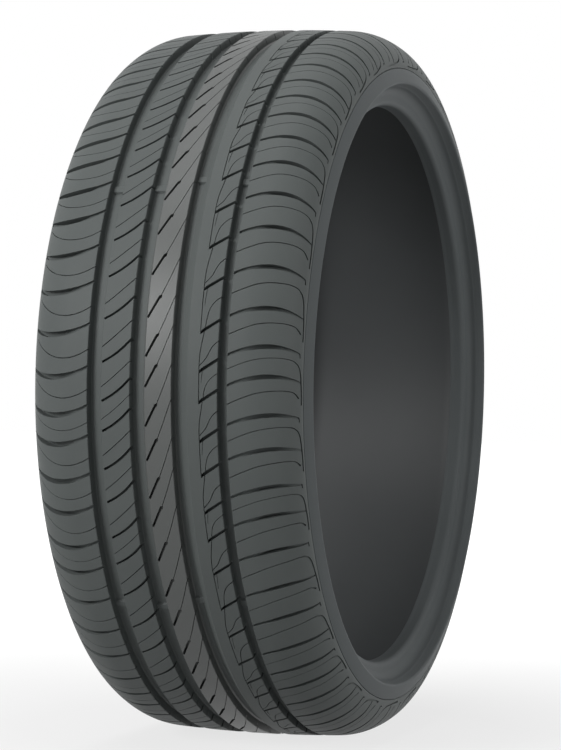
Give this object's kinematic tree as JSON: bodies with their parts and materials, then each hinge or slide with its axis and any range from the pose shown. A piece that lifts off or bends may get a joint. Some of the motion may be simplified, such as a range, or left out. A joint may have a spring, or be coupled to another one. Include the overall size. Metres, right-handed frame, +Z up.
{
  "type": "car tyre",
  "caption": "Low-profile radial car tyre with an asymmetric tread: round grooves, slanted slots and curved shoulder grooves, open at the beads for a rim.",
  "frame": {"origin": "centre of the tyre, on its axis and half way between the sidewalls", "axes": "the tyre spins about +Y; the outer sidewall faces -Y and the inner one +Y; +Z is up with the tyre upright"},
  "size_m": [0.655, 0.2478, 0.655],
  "materials": {
    "tyre": "matt moulded rubber"
  },
  "bodies": {
    "root": {"tyre": "tyre"}
  },
  "joints": []
}
